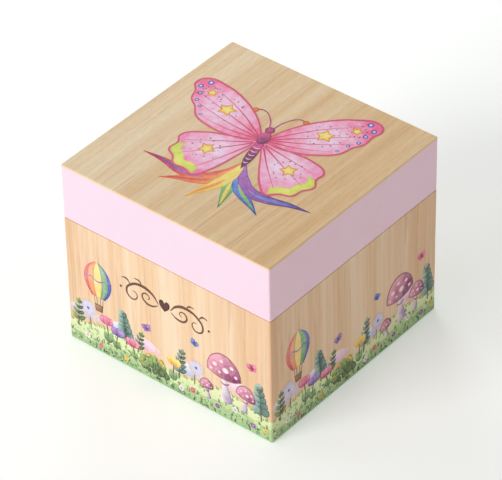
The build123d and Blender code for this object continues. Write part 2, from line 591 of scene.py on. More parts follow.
def drawn(points, closed, corners=(), steps=8):
    """A page with the edges of a Blender curve through the points, smooth but for the numbered corners."""
    line = bpy.data.curves.new("line", "CURVE")
    line.dimensions = "2D"
    line.fill_mode = "NONE"
    line.resolution_u = steps
    spline = line.splines.new("BEZIER")
    spline.bezier_points.add(len(points) - 1)
    spline.use_cyclic_u = closed
    for number, (knot, (u, v)) in enumerate(zip(spline.bezier_points, points)):
        knot.co = (u, v, 0)
        kind = "VECTOR" if number in corners else "AUTO"
        knot.handle_left_type = kind
        knot.handle_right_type = kind
    holder = bpy.data.objects.new("line", line)
    mesh = bpy.data.meshes.new_from_object(holder)
    sheet = new_page()
    sheet.from_mesh(mesh)
    sheet.verts.ensure_lookup_table()
    bpy.data.meshes.remove(mesh)
    bpy.data.objects.remove(holder)
    bpy.data.curves.remove(line)
    return sheet


def outline_of(sheet):
    """A sheet's points, as rows of two numbers."""
    return np.array([v.co[:2] for v in sheet.verts])


print("a drawn circle has", len(outline_of(drawn([(1, 0), (0, 1), (-1, 0), (0, -1)], True))), "points")

# %% [markdown]
# ## From a flat sheet to a film
#
# A sheet is cut along straight lines, to trim it or to give it more points. Its points then get their
# colours, and extruding gives it the thickness of its coat of ink. Films of one coat differ by a hair,
# because two faces that lie in exactly one plane would flicker in a render.

# %% Cut a sheet and lay it on the page
FILM = 0.03  # thickness of the first coat of ink, mm
COAT = 0.008  # what each later coat adds, mm
HAIR = 0.0006  # what each next film adds, mm, starting again after HAIRS of them
HAIRS = 12
films = 0


def gap_to(line, places):
    """How far each place is from a closed line."""
    run = np.roll(line, -1, axis=0) - line
    reach = places[:, None] - line
    share = np.clip((reach * run).sum(2) / np.maximum((run ** 2).sum(1), 1e-12), 0, 1)
    return np.linalg.norm(reach - share[..., None] * run, axis=2).min(1)


def cut(sheet, point, normal, drop=False):
    """Cuts the sheet along a line, and drops what lies beyond it if asked."""
    everything = sheet.verts[:] + sheet.edges[:] + sheet.faces[:]
    bmesh.ops.bisect_plane(sheet, geom=everything, plane_co=(*point, 0), plane_no=(*normal, 0),
                           clear_outer=drop)


def lay(page, sheet, ink, falls, edges, covers, coat):
    """Writes the ink on a flat sheet's points, gives the sheet its thickness and adds it to the page."""
    global films
    layers = sheet.verts.layers
    light, deep = (layers.float_color[name] for name in ("light", "deep"))
    numbers = [layers.float[name] for name in ("fall", "edge", "cover")]
    for v, *values in zip(sheet.verts, falls, edges, covers):
        v[light] = (*ink[0], 1)
        v[deep] = (*ink[1], 1)
        for layer, value in zip(numbers, values):
            v[layer] = value
    grown = bmesh.ops.extrude_face_region(sheet, geom=sheet.faces[:])["geom"]
    top = [v for v in grown if isinstance(v, bmesh.types.BMVert)]
    thickness = FILM + COAT * coat + HAIR * (films % HAIRS)
    bmesh.ops.translate(sheet, verts=top, vec=(0, 0, thickness))
    mesh = bpy.data.meshes.new("film")
    sheet.to_mesh(mesh)
    sheet.free()
    page.from_mesh(mesh)
    bpy.data.meshes.remove(mesh)
    films += 1


# %% [markdown]
# ## A wash of ink
#
# A painter fills a shape or pulls a line, and so does this page. A wash fills a closed outline. It is cut
# into a fine grid, because the distance to the rim is kept at its points and has to change smoothly between
# them. Where its colour falls from light to deep is a function of place: down a slope, outwards in rings,
# or evenly.

# %% Wash
EVEN_FALL = 0.4  # how far an even colour has fallen from light to deep


def slope(start, end):
    """Colour that falls from one place to another."""
    run = np.subtract(end, start)
    return lambda places: (places - np.array(start)) @ run / (run @ run)


def rings(centre, reach):
    """Colour that falls from a centre outwards."""
    return lambda places: np.linalg.norm(places - np.array(centre), axis=1) / reach


def even(places):
    """Colour that is the same all over."""
    return np.full(len(places), EVEN_FALL)


def wash(page, outline, ink, coat, fall=even, corners=(), cover=1.0, soft=0.0, grid=0.6,
         trims=(), folds=()):
    """Fills an outline with ink. soft is how far the ink fades in from its rim, in mm."""
    sheet = drawn(outline, True, corners)
    line = outline_of(sheet)
    bmesh.ops.contextual_create(sheet, geom=sheet.edges[:])
    for point, normal in trims:
        cut(sheet, point, normal, drop=True)
    for point, normal in folds:
        cut(sheet, point, normal)
    low, high = line.min(0), line.max(0)
    for axis in (0, 1):
        cells = int((high[axis] - low[axis]) / grid)
        normal = (1 - axis, axis)
        for cell in range(1, cells):
            cut(sheet, low + (high - low) * cell / cells, normal)
    places = outline_of(sheet)
    gaps = gap_to(line, places)
    fade = np.clip(gaps / soft, 0, 1) if soft else np.ones(len(places))
    covers = cover * fade * fade * (3 - 2 * fade)
    lay(page, sheet, ink, fall(places), gaps, covers, coat)


# %% [markdown]
# ## A stroke of the brush
#
# A stroke widens a centre line by sliding two copies of it apart, and it can swell and taper as a brush
# does. A broad, wet one gets more points across its width, so that its ink can pool at both rims.

# %% Stroke
def stroke(page, points, widths, ink, coat, closed=False, corners=(), cover=1.0, steps=8, wet=False):
    """Pulls a line whose width follows the list of widths. A wet one pools at its rims."""
    sheet = drawn(points, closed, corners, steps)
    path = outline_of(sheet)
    before = np.roll(path, 1, axis=0)
    after = np.roll(path, -1, axis=0)
    if not closed:
        before[0] = path[0]
        after[-1] = path[-1]
    along = after - before
    normals = np.stack([-along[:, 1], along[:, 0]], 1) / np.linalg.norm(along, axis=1, keepdims=True)
    travelled = np.concatenate([[0], np.cumsum(np.linalg.norm(np.diff(path, axis=0), axis=1))])
    share = travelled / travelled[-1]
    half = np.interp(share, np.linspace(0, 1, len(widths)), widths) / 2
    fall, side = sheet.verts.layers.float["fall"], sheet.verts.layers.float["edge"]
    near = sheet.verts[:]
    for v, value in zip(near, share):
        v[fall] = value
    bmesh.ops.extrude_edge_only(sheet, edges=sheet.edges[:])
    known = set(near)
    for v, normal, reach in zip(near, normals, half):
        twin = next(e.other_vert(v) for e in v.link_edges if e.other_vert(v) not in known)
        step = Vector((*(normal * reach), 0))
        twin.co = v.co + step
        v.co = v.co - step
        v[side] = -1.0
        twin[side] = 1.0
    if wet:
        rungs = [e for e in sheet.edges if abs(e.verts[0][side] - e.verts[1][side]) > 1]
        bmesh.ops.subdivide_edges(sheet, edges=rungs, cuts=3, use_grid_fill=True)
    falls = [v[fall] for v in sheet.verts]
    reach = np.interp(falls, share, half)
    edges = (1 - np.abs([v[side] for v in sheet.verts])) * reach if wet else np.ones(len(falls))
    lay(page, sheet, ink, falls, edges, np.full(len(falls), cover), coat)


# %% [markdown]
# ## How printed watercolour looks
#
# Wet paint dries darker at its rim, where the pigment pools, and mottled in between. Raising a colour to a
# power above one deepens it and makes it richer at once, which is what more pigment does, so the rim and
# the mottling both go through a Gamma node. The ink is thin, so where its cover is less than full the grain
# group's wood colour shows through, and a fade at a soft rim needs no transparent shader.

# %% The ink's finish
def ink_finish(name, grain):
    """Watercolour that pools at its rims, over the wood's own colour where it is thin."""
    finish, tree, shader = new_finish(name, roughness=0.5, specular=0.35)
    wood, fibres = grain(tree)
    place = place_in_mm(tree)
    read = {layer: node(tree, "Attribute", attribute_name=layer).outputs
            for layer in ("light", "deep", "fall", "edge", "cover")}
    drift = maths(tree, "SUBTRACT", noise(tree, place, 0.5, 3.0), 0.5)
    fall = maths(tree, "MULTIPLY_ADD", drift, 1.3, read["fall"]["Fac"], clamp=True)
    colour = mixed(tree, fall, read["light"]["Color"], read["deep"]["Color"])
    wobble = maths(tree, "MULTIPLY_ADD", noise(tree, place, 1.8, 2.0), 0.4, read["edge"]["Fac"])
    pooled = spread(tree, wobble, 0.16, 0.55, 0.65, 0.0)
    mottle = spread(tree, noise(tree, place, 4.0, 2.0), 0.3, 0.7, 0.86, 1.18)
    strength = maths(tree, "ADD", pooled, mottle)
    colour = node(tree, "Gamma", {"Color": colour, "Gamma": strength}).outputs[0]
    colour = mixed(tree, read["cover"]["Fac"], wood, colour)
    tree.links.new(colour, shader.inputs["Base Color"])
    relief(tree, shader, fibres, FIBRE_RELIEF, 0.4)
    return finish


wall_ink = ink_finish("wall_ink", wall_grain)
lid_ink = ink_finish("lid_ink", lid_grain)
print("nodes in the ink's finish:", len(wall_ink.node_tree.nodes))

# %% [markdown]
# ## Colours in the paint box
#
# Each ink is a pair: the thin, light colour and the deep one that it falls to. The two for blades of grass
# are the other way round, so that a blade is deep at its root and pale at its tip.

# %% The paint box
def ink(light, deep):
    """Two pigments, as numbers from 0 to 255."""
    return pigment(*light), pigment(*deep)


FAR_MEADOW = ink((234, 242, 190), (204, 222, 166))
NEAR_MEADOW = ink((216, 236, 174), (160, 192, 138))
BLADE = ink((120, 152, 102), (176, 200, 140))
DARK_BLADE = ink((62, 96, 72), (124, 156, 108))
DABS = [ink((230, 243, 186), (212, 230, 166)), ink((188, 214, 158), (164, 194, 138)),
        ink((138, 168, 118), (104, 140, 102)), ink((78, 110, 82), (46, 80, 62))]
CLOVER = ink((196, 218, 142), (44, 88, 66))
TEAL_LEAF = ink((200, 226, 212), (56, 108, 102))
GREEN_LEAF = ink((196, 222, 164), (52, 106, 76))
STEM = ink((104, 112, 78), (84, 106, 76))
MIST = ink((250, 248, 255), (184, 194, 240))
BLUSH = ink((255, 240, 248), (234, 184, 218))
CAP = ink((248, 178, 196), (132, 48, 102))
CAP_SPOT = ink((255, 244, 244), (248, 214, 228))
STALK = ink((250, 240, 236), (180, 152, 194))
GILLS = ink((196, 140, 182), (92, 50, 108))
PLUM_LINE = ink((106, 46, 94), (106, 46, 94))
LILAC = ink((244, 240, 255), (164, 166, 226))
WHITE = ink((255, 253, 252), (222, 222, 244))
VIOLET = ink((208, 176, 228), (112, 78, 162))
ROSE = ink((252, 184, 204), (206, 78, 128))
SUN = ink((255, 240, 160), (240, 184, 84))
PEN_BROWN = ink((104, 62, 52), (74, 38, 34))
WICKER = ink((196, 154, 112), (120, 82, 62))
BRIGHTS = [ink((244, 128, 128), (204, 54, 76)), ink((254, 178, 110), (238, 122, 66)),
           ink((255, 240, 146), (248, 204, 82)), ink((178, 220, 136), (92, 168, 108)),
           ink((134, 168, 232), (66, 88, 184)), ink((186, 122, 200), (108, 48, 142))]
PASTELS = [ink((248, 160, 158), (220, 92, 108)), ink((254, 204, 152), (240, 150, 100)),
           ink((255, 244, 180), (248, 214, 122)), ink((194, 226, 174), (112, 172, 128)),
           ink((164, 190, 236), (92, 112, 190)), ink((192, 152, 212), (110, 74, 150))]
print("bright inks:", len(BRIGHTS), "and pastel ones:", len(PASTELS))

# %% [markdown]
# ## Small motifs
#
# Leaves and stars come up again and again, so each is one outline, a millimetre or two across, that is
# placed, turned and scaled. The heart on the front is made in the same way. Only a few points are needed,
# because the curve is smooth between them, and the points that should stay sharp are named as corners.

# %% Outlines used many times
LEAF_POINTS = [(0, 0), (0.22, 0.3), (0.2, 0.65), (0, 1), (-0.2, 0.65), (-0.22, 0.3)]
LEAF_CORNERS = (0, 3)
ROUND_LEAF_POINTS = [(0, 0), (0.34, 0.3), (0.36, 0.68), (0, 1), (-0.36, 0.68), (-0.34, 0.3)]
HEART_POINTS = [(0, -0.55), (0.5, 0.02), (0.46, 0.42), (0.2, 0.5), (0, 0.25),
                (-0.2, 0.5), (-0.46, 0.42), (-0.5, 0.02)]
HEART_CORNERS = (0, 4)
STAR_POINTS = [(math.sin(k * math.pi / 5) * r, math.cos(k * math.pi / 5) * r)
               for k, r in zip(range(10), [1, 0.52] * 5)]


def placed(at, turn=0.0, size=1.0, mirror=1):
    """A function that moves a motif's points to where it is printed."""
    c, s = math.cos(math.radians(turn)), math.sin(math.radians(turn))

    def move(points):
        return [(at[0] + size * (mirror * x * c - y * s), at[1] + size * (mirror * x * s + y * c))
                for x, y in points]

    return move


print("points round a leaf:", len(LEAF_POINTS), "and round a star:", len(STAR_POINTS))

# %% [markdown]
# ## Dots and leaves
#
# A dot is a wash that grows deeper towards its rim. A leaf is one that grows deeper towards its stalk, with
# its midrib pulled over it in the deep ink. The side of a plant that faces away from the light takes a
# shaded copy of its ink.

# %% Dots and leaves
DISC_STEPS = 8  # points round a dot


def shaded(ink):
    """The same ink for the side of a plant that faces away from the light."""
    light, deep = np.array(ink)
    return 0.4 * light + 0.6 * deep, 0.6 * deep


def disc_points(radius, squash):
    """Points round a circle, or round an ellipse if it is squashed."""
    turns = [k * math.tau / DISC_STEPS for k in range(DISC_STEPS)]
    return [(radius * math.cos(turn), radius * squash * math.sin(turn)) for turn in turns]


def dot(page, at, radius, ink, coat, cover=1.0, soft=0.0, squash=1.0):
    """A round spot, deeper towards its rim."""
    wash(page, placed(at)(disc_points(radius, squash)), ink, coat, rings(at, radius * 1.3),
         cover=cover, soft=soft, grid=max(0.35, radius / 3))


def leaf(page, at, turn, length, ink, coat, points=LEAF_POINTS, rib=True):
    """One leaf from its stalk at a point, deeper towards the stalk, with a darker midrib."""
    move = placed(at, turn, length)
    stalk, tip = move([(0, 0), (0, 1)])
    wash(page, move(points), ink, coat, slope(tip, stalk), LEAF_CORNERS, grid=0.45)
    if rib:
        midrib = move([(0, 0.05), (0.02, 0.5), (0, 0.85)])
        stroke(page, midrib, (0.16, 0.1, 0.04), (ink[1], ink[1]), coat + 1, cover=0.7, steps=3)


# %% [markdown]
# ## The hills along the foot
#
# Two hills carry the strip, a pale one behind and a deeper one in front, which run on round the corners.
# Each is drawn too wide and too deep and trimmed at the mitres and the foot, and it is cut where the wall
# turns, so that it can bend there. Their crests are nearly as high at one mitre as at the other, so the
# pictures on neighbouring walls join.

# %% The two hills
MITRES = [((WRAP_HALF, 0), (1, 0)), ((-WRAP_HALF, 0), (-1, 0)), ((0, 0), (0, -1))]  # and the foot
CORNER_CUTS = 3  # creases in each corner's arc
CORNER_FOLDS = [((side * (FLAT_HALF + (WRAP_HALF - FLAT_HALF) * k / CORNER_CUTS), 0), (1, 0))
                for side in (-1, 1) for k in range(CORNER_CUTS)] + [((0, FOOT_EASE), (0, 1))]
PAST_CORNER = 33  # the hills are drawn out to here and trimmed at the mitres, mm
BELOW_FOOT = -2  # and down to here, and trimmed at the foot
FAR_CREST = [(-PAST_CORNER, 5.6), (-27, 6.2), (-20, 7.8), (-12, 7.6), (-5, 5.9), (2, 5.5), (9, 6.9),
             (17, 8.2), (24, 7.0), (PAST_CORNER, 5.6)]
NEAR_CREST = [(-PAST_CORNER, 3.3), (-25, 2.9), (-16, 4.1), (-7, 3.9), (1, 2.6), (9, 3.2), (18, 4.6),
              (26, 4.0), (PAST_CORNER, 3.3)]
HILL_FALL = slope((0, 6.5), (0, 0))


def hill(page, crest, ink, coat):
    """A wash from a crest down past the foot, trimmed at the mitres and creased round the corners."""
    outline = [*crest, (PAST_CORNER, BELOW_FOOT), (-PAST_CORNER, BELOW_FOOT)]
    ends = (0, len(crest) - 1, len(crest), len(crest) + 1)
    wash(page, outline, ink, coat, HILL_FALL, ends, grid=0.8, trims=MITRES, folds=CORNER_FOLDS)


def height_on(crest, u):
    """How high a hill is at a place along the wall."""
    return float(np.interp(u, *zip(*crest)))


for name, crest in (("far", FAR_CREST), ("near", NEAR_CREST)):
    ends = [round(height_on(crest, side * WRAP_HALF), 2) for side in (-1, 1)]
    print("the", name, "crest is", ends, "mm high at the two mitres")

# %% [markdown]
# ## Brush marks and grass
#
# A wash this wide looks flat by itself. Hundreds of short dabs in four greens, darker towards the foot,
# break it up as the tip of a loaded brush would, and tufts of grass stand along the crests.

# %% Dabs and tufts
DAB_REACH = 28.8  # brush marks start this far from a wall's middle at most, mm
BLADES = 3  # in one tuft


def tuft(page, at, height, ink, coat, rng):
    """A few blades of grass that lean either way."""
    for _ in range(BLADES):
        lean = rng.uniform(-0.8, 0.8)
        tall = height * rng.uniform(0.6, 1.0)
        root = (at[0] + rng.uniform(-0.35, 0.35), at[1] - 0.3)
        blade = placed(root)([(0, 0), (lean * 0.25, tall * 0.55), (lean, tall)])
        stroke(page, blade, (0.26, 0.2, 0.04), ink, coat, steps=3, cover=0.9)


def spaced(count, reach, nudge, rng):
    """Even steps from one side of a wall to the other, each nudged a little."""
    for k in range(count):
        yield -reach + 2 * reach * k / (count - 1) + rng.uniform(-nudge, nudge)


def dab(page, at, turn, length, ink, coat):
    """One touch of the brush, broad in its middle."""
    line = placed(at, turn, length)([(0, 0), (0.08, 0.5), (0, 1)])
    stroke(page, line, (0.16, 0.5 * length, 0.1), ink, coat, steps=2)


def dabs(page, crest, low, high, tones, count, coat, rng):
    """Short brush marks between two shares of a hill's height, in a choice of the greens."""
    for _ in range(count):
        u = rng.uniform(-DAB_REACH, DAB_REACH)
        v = max(0.5, height_on(crest, u) * rng.uniform(low, high) - 0.5)
        dab(page, (u, v), rng.uniform(-70, 70), rng.uniform(0.7, 1.3), DABS[rng.choice(tones)], coat)


# %% [markdown]
# ## The meadow from the back forwards
#
# A painter finishes the far hill before the near one. Each mark also has a coat, counted from 0, and a
# later coat lies a little higher on the wood, so it covers what is behind it.

# %% Paint the meadow
def meadow(page, rng):
    """Both hills, with their dabs and tufts, from the back forwards."""
    hill(page, FAR_CREST, FAR_MEADOW, 0)
    dabs(page, FAR_CREST, 0.62, 0.98, (0, 0, 1, 1, 2), 150, 1, rng)
    for u in spaced(30, 28.6, 0.8, rng):
        tuft(page, (u, height_on(FAR_CREST, u)), 1.4, BLADE, 1, rng)
    hill(page, NEAR_CREST, NEAR_MEADOW, 2)
    dabs(page, NEAR_CREST, 0.55, 1.0, (0, 1, 1, 2), 120, 3, rng)
    dabs(page, NEAR_CREST, 0.1, 0.6, (1, 2, 2, 3), 150, 3, rng)
    for u in spaced(34, DAB_REACH, 0.5, rng):
        tuft(page, (u, height_on(NEAR_CREST, u) * rng.choice((0.5, 1.0))), 1.6, DARK_BLADE, 3, rng)


# %% [markdown]
# ## Sprigs and flowers
#
# A plant is built from the small motifs: its stem is a stroke, and the leaves or petals are set along it. A
# sprig's leaves stand in pairs that shrink towards the tip, and the right one of each pair is shaded.

# %% Sprigs, tulips and daisies
def sprig(page, root, height, lean, pairs, ink, coat, leaf_length, rounded=False):
    """A stem with pairs of leaves that grow smaller towards its tip."""
    def along(share):
        return (root[0] + lean * share ** 1.6, root[1] + height * share)

    line = [along(share) for share in (0, 0.35, 0.7, 0.97)]
    stroke(page, line, (0.42, 0.32, 0.24, 0.14), STEM, coat, steps=5)
    points = ROUND_LEAF_POINTS if rounded else LEAF_POINTS
    for k in range(pairs):
        share = 0.24 + 0.70 * k / (pairs - 1)
        size = leaf_length * (1.0 - 0.5 * share)
        bend = -math.degrees(math.atan2(lean * 1.6 * share ** 0.6, height))
        for side in (-1, 1):
            at = along(share - 0.02 * (side > 0))
            tone = ink if side > 0 else shaded(ink)
            leaf(page, at, bend + side * (58 - 22 * share), size, tone, coat + 1, points)
    leaf(page, along(0.95), bend, leaf_length * 0.6, ink, coat + 1, points)


def stem(page, root, height, lean, bow, widths, coat):
    """A thin stem that bows before it leans. Returns its top."""
    top = (root[0] + lean, root[1] + height)
    middle = (root[0] + lean * bow, root[1] + height * 0.5)
    stroke(page, [root, middle, top], widths, STEM, coat, steps=5)
    return top


def tulip(page, root, height, lean, ink, coat):
    """A cup of three petals on a stem with two leaves."""
    top = stem(page, root, height, lean, 0.3, (0.36, 0.3, 0.26), coat)
    for side in (-1, 1):
        leaf(page, root, side * 20 - lean * 4, height * 0.62, GREEN_LEAF, coat + 1)
    for turn, shift in ((24, -0.42), (-24, 0.42), (0, 0)):
        at = (top[0] + shift, top[1] - 0.5)
        leaf(page, at, turn - lean * 4, 2.7, ink, coat + 2, ROUND_LEAF_POINTS, rib=False)


def daisy(page, at, size, ink, coat):
    """Six petals round a yellow eye."""
    for k in range(6):
        leaf(page, at, 60 * k + 10, size, ink, coat, ROUND_LEAF_POINTS, rib=False)
    dot(page, at, size * 0.3, SUN, coat + 1)


# %% [markdown]
# ## Seed heads, clover and mist
#
# A seed head is a soft ball with fine spokes. A clump of clover is a heap of round leaves, laid from the
# top of the heap down, so that each row overlaps the one behind it, and its lower right is shaded. Mist is
# three puffs of pale ink with soft rims, put down first, straight on the wood.

# %% Seed heads, clover and mist
def seed_head(page, root, height, lean, radius, coat):
    """A dandelion clock: a soft pale ball on a thin stem, with fine spokes."""
    top = stem(page, root, height, lean, 0.2, (0.3, 0.24, 0.2), coat)
    dot(page, top, radius * 1.2, LILAC, coat + 1, cover=0.9, soft=radius * 0.4)
    for k in range(18):
        move = placed(top, 20 * k)
        reach = radius * (0.98 if k % 2 else 0.76)
        spoke = move([(0, 0.1), (0.02, reach * 0.6), (0, reach)])
        stroke(page, spoke, (0.1, 0.07, 0.07), (LILAC[1], WHITE[0]), coat + 2, steps=2)
        dot(page, move([(0, reach)])[0], 0.17, WHITE, coat + 3)
    dot(page, top, 0.3, WICKER, coat + 3)


def clover(page, at, width, height, coat, rng):
    """A heap of round leaves with yellow buds."""
    rows = 4
    for row in range(rows):
        share = 1 - row / rows
        across = width * math.sqrt(1 - (share * 0.8) ** 2) / 2
        count = 4 + row
        for k in range(count):
            u = at[0] + across * (2 * (k + 0.5) / count - 1) + rng.uniform(-0.25, 0.25)
            v = at[1] + height * (share - 0.45) + rng.uniform(-0.2, 0.2)
            turn = -40 * (u - at[0]) / width + rng.uniform(-25, 25)
            tone = shaded(CLOVER) if row / rows + (u - at[0]) / width > 0.55 else CLOVER
            leaf(page, (u, v), turn, rng.uniform(1.7, 2.3), tone, coat + row, ROUND_LEAF_POINTS)
    for _ in range(9):
        angle = rng.uniform(0.1, 0.9) * math.pi
        bud = (at[0] + width * 0.46 * math.cos(angle), at[1] + height * 0.95 * math.sin(angle))
        dot(page, bud, rng.uniform(0.3, 0.45), SUN, coat + rows)


def mist(page, at, width, ink, coat):
    """Three puffs of pale ink with soft rims."""
    for shift, size in ((-0.3, 0.62), (0.28, 0.56), (0.0, 0.8)):
        u, v = at[0] + shift * width, at[1] + 0.12 * width * size
        outline = placed((u, v))(disc_points(width * size / 2, 0.62))
        fall = slope((0, v + width * 0.2), (0, v - width * 0.2))
        wash(page, outline, ink, coat, fall, cover=0.95, soft=width * 0.1, grid=0.4)


# %% [markdown]
# ## Toadstools
#
# The bigger motifs are built up from the back forwards too. A toadstool is its stalk, with the cap's shade
# on it, then its gills, and then the cap, with pale spots and an outline that swells and thins.

# %% A toadstool
CAP_POINTS = [(-0.52, -0.02), (-0.47, 0.24), (-0.26, 0.50), (0.03, 0.58), (0.31, 0.46), (0.49, 0.20),
              (0.52, -0.05), (0.27, -0.15), (0, -0.17), (-0.27, -0.13)]
STALK_POINTS = [(-0.11, 0), (-0.10, -0.4), (-0.17, -0.78), (-0.13, -0.86), (0.14, -0.86), (0.17, -0.76),
                (0.09, -0.38), (0.10, 0)]
CAP_SPOTS = [(-0.27, 0.2, 0.075), (-0.05, 0.36, 0.06), (0.06, 0.12, 0.095), (0.26, 0.27, 0.06),
             (0.37, 0.04, 0.055), (-0.4, 0.03, 0.045), (-0.14, 0.0, 0.045)]


def toadstool(page, at, width, turn, coat):
    """A spotted toadstool. at is the middle of the cap's rim."""
    move = placed(at, turn, width)

    def filled(points, ink, layer, start, end, corners=(), grid=0.4):
        wash(page, move(points), ink, coat + layer, slope(*move([start, end])), corners, grid=grid)

    filled(STALK_POINTS, STALK, 0, (-0.12, -0.5), (0.14, -0.55), (0, 7), 0.35)
    shade = [(-0.13, -0.28), (0, -0.33), (0.13, -0.27)]
    stroke(page, move(shade), (0.25, 0.5, 0.25), GILLS, coat + 1, steps=5)
    filled(disc_points(0.46, 0.3), GILLS, 1, (0, 0), (0, -0.2))
    filled(CAP_POINTS, CAP, 2, (-0.3, 0.5), (0.4, -0.15), (0, 6))
    for x, y, radius in CAP_SPOTS:
        dot(page, move([(x, y)])[0], radius * width, CAP_SPOT, coat + 3, squash=0.85)
    stroke(page, move(CAP_POINTS), (0.16, 0.22, 0.16, 0.24, 0.16), PLUM_LINE, coat + 3, closed=True,
           corners=(0, 6), cover=0.75)


# %% [markdown]
# ## A striped balloon
#
# The balloon's envelope is five tapering gores, each bounded by two meridians. A meridian's distance from
# the middle shrinks towards the crown and the throat by one formula, so the gores fit edge to edge. A swag
# runs across them, and a basket hangs below on four ropes.

# %% A balloon
MERIDIANS = [-1, -0.74, -0.3, 0.3, 0.74, 1]  # from the envelope's left rim to its right one
SWAG = [(-0.5, 0.0), (-0.37, -0.09), (-0.25, -0.02), (0, -0.13), (0.25, -0.02), (0.37, -0.09), (0.5, 0.0)]
BASKET = [(-0.15, -0.96), (0.15, -0.96), (0.12, -1.2), (-0.12, -1.2)]
GORE_STEPS = 7  # points down each side of a gore
GORE_CORNERS = (0, GORE_STEPS - 1, GORE_STEPS, 2 * GORE_STEPS - 1)


def meridian(m):
    """Points down an envelope one unit wide, from its crown to its throat."""
    shares = [k / (GORE_STEPS - 1) for k in range(GORE_STEPS)]
    return [(m * 0.5 * math.sin(math.pi * (0.03 + 0.85 * s ** 0.9)) ** 0.75, 0.55 - 1.25 * s) for s in shares]


def balloon(page, at, width, coat):
    """A striped hot-air balloon. at is near the middle of its envelope."""
    move = placed(at, 0, width)
    fall = slope(*move([(-0.5, 0.6), (0.5, -0.5)]))
    for colours, left, right in zip(PASTELS, MERIDIANS, MERIDIANS[1:]):
        gore = move(meridian(left) + meridian(right)[::-1])
        wash(page, gore, colours, coat, fall, GORE_CORNERS, grid=0.4)
    for m in MERIDIANS[1:-1]:
        stroke(page, move(meridian(m)), (0.08, 0.12, 0.08), PASTELS[5], coat + 1, cover=0.55, steps=4)
    stroke(page, move(SWAG), (0.22, 0.34, 0.22), PASTELS[5], coat + 2, corners=(0, 2, 4, 6), steps=4)
    for x in (-0.17, -0.07, 0.07, 0.17):
        stroke(page, move([(x, -0.69), (x * 0.8, -0.98)]), (0.09, 0.09), PEN_BROWN, coat, steps=2)
    fall = slope(*move([(-0.1, -0.96), (0.12, -1.2)]))
    wash(page, move(BASKET), WICKER, coat + 1, fall, (0, 1, 2, 3), grid=0.3)
    rim = [(-0.16, -0.97), (0.16, -0.97)]
    stroke(page, move(rim), (0.3, 0.3), PEN_BROWN, coat + 2, steps=2, cover=0.8)


# %% [markdown]
# ## A small butterfly
#
# The small butterflies need no outline of their own, because a round leaf without its midrib does for a
# wing.

# %% A small butterfly
def small_butterfly(page, at, size, turn, ink, coat):
    """Four plain wings, a body and two feelers."""
    for side in (-1, 1):
        for spread_angle, length in ((52, 1.0), (118, 0.72)):
            leaf(page, at, turn + side * spread_angle, size * length, ink, coat, ROUND_LEAF_POINTS, rib=False)
    body = placed(at, turn, size)
    stroke(page, body([(0, -0.34), (0, 0.1), (0, 0.36)]), (0.12, 0.26, 0.12), PLUM_LINE, coat + 1, steps=3)
    for side in (-1, 1):
        feeler = [(0, 0.34), (side * 0.08, 0.55), (side * 0.22, 0.68)]
        stroke(page, body(feeler), (0.08, 0.06, 0.08), PLUM_LINE, coat + 1, steps=3)


# %% [markdown]
# ## Compose the strip
#
# The strip is drawn once and printed on all four walls. Tall motifs alternate with low ones, so that the
# wood still shows between them, and higher up there are only a balloon and a few butterflies on the bare
# wood.

# %% Draw the strip
def draw_strip():
    """The whole strip on a flat page, from the back forwards."""
    rng = random.Random(11)
    page = new_page()
    for at, width, colours in (((-24.5, 9.4), 8.5, MIST), ((-6.4, 8.8), 8.0, BLUSH), ((5.6, 8.0), 9.0, MIST),
                               ((21.5, 10.0), 9.5, BLUSH), ((-14.6, 9.6), 7.5, MIST)):
        mist(page, at, width, colours, 0)
    sprig(page, (-12.6, 6.5), 8.2, -0.8, 5, TEAL_LEAF, 3, 3.4, rounded=True)
    sprig(page, (-9.2, 6.0), 5.6, 1.2, 4, GREEN_LEAF, 3, 2.6)
    sprig(page, (3.0, 4.8), 8.0, 1.1, 5, TEAL_LEAF, 3, 3.1)
    sprig(page, (27.0, 4.8), 9.4, -0.6, 5, TEAL_LEAF, 3, 3.4, rounded=True)
    sprig(page, (-27.2, 5.0), 7.0, 0.5, 4, GREEN_LEAF, 3, 3.0)
    seed_head(page, (-23.4, 6.0), 5.6, -0.6, 2.1, 3)
    seed_head(page, (7.6, 5.4), 5.2, 0.6, 1.9, 3)
    toadstool(page, (16.4, 13.2), 9.4, 4, 3)
    toadstool(page, (22.6, 9.6), 5.4, -8, 4)
    meadow(page, rng)
    toadstool(page, (11.2, 6.8), 3.8, 10, 4)
    tulip(page, (-18.0, 4.2), 5.6, -0.5, ROSE, 4)
    tulip(page, (-15.8, 3.6), 4.4, 0.6, VIOLET, 4)
    clover(page, (-4.4, 3.0), 8.4, 4.6, 4, rng)
    tulip(page, (1.2, 3.2), 5.0, 0.4, SUN, 4)
    tulip(page, (-10.2, 3.4), 3.8, -0.5, ROSE, 4)
    for u, v, size, colours in ((-24.6, 3.2, 0.9, WHITE), (-20.6, 2.0, 0.8, ROSE), (-12.8, 2.4, 0.8, SUN),
                                (3.6, 2.2, 0.9, WHITE), (7.0, 3.4, 0.9, ROSE), (19.4, 4.2, 0.9, WHITE),
                                (24.6, 2.4, 0.9, VIOLET), (28.2, 2.6, 0.7, SUN), (14.2, 2.6, 0.8, VIOLET)):
        daisy(page, (u, v), size, colours, 5)
    balloon(page, (-20.6, 22.0), 8.2, 1)
    small_butterfly(page, (-6.2, 14.6), 1.7, 24, VIOLET, 1)
    small_butterfly(page, (7.8, 17.6), 1.5, -30, PASTELS[4], 1)
    small_butterfly(page, (24.6, 19.0), 1.8, 16, ROSE, 1)
    return page


strip = draw_strip()
print("the strip has", films, "films and", len(strip.faces), "faces")

# %% [markdown]
# ## A flourish on the front
#
# Above the strip the front wall carries a penman's flourish, a heart between two scrolls in brown ink. One
# scroll is drawn as a few tapering strokes and then again mirrored, which keeps the two sides alike.

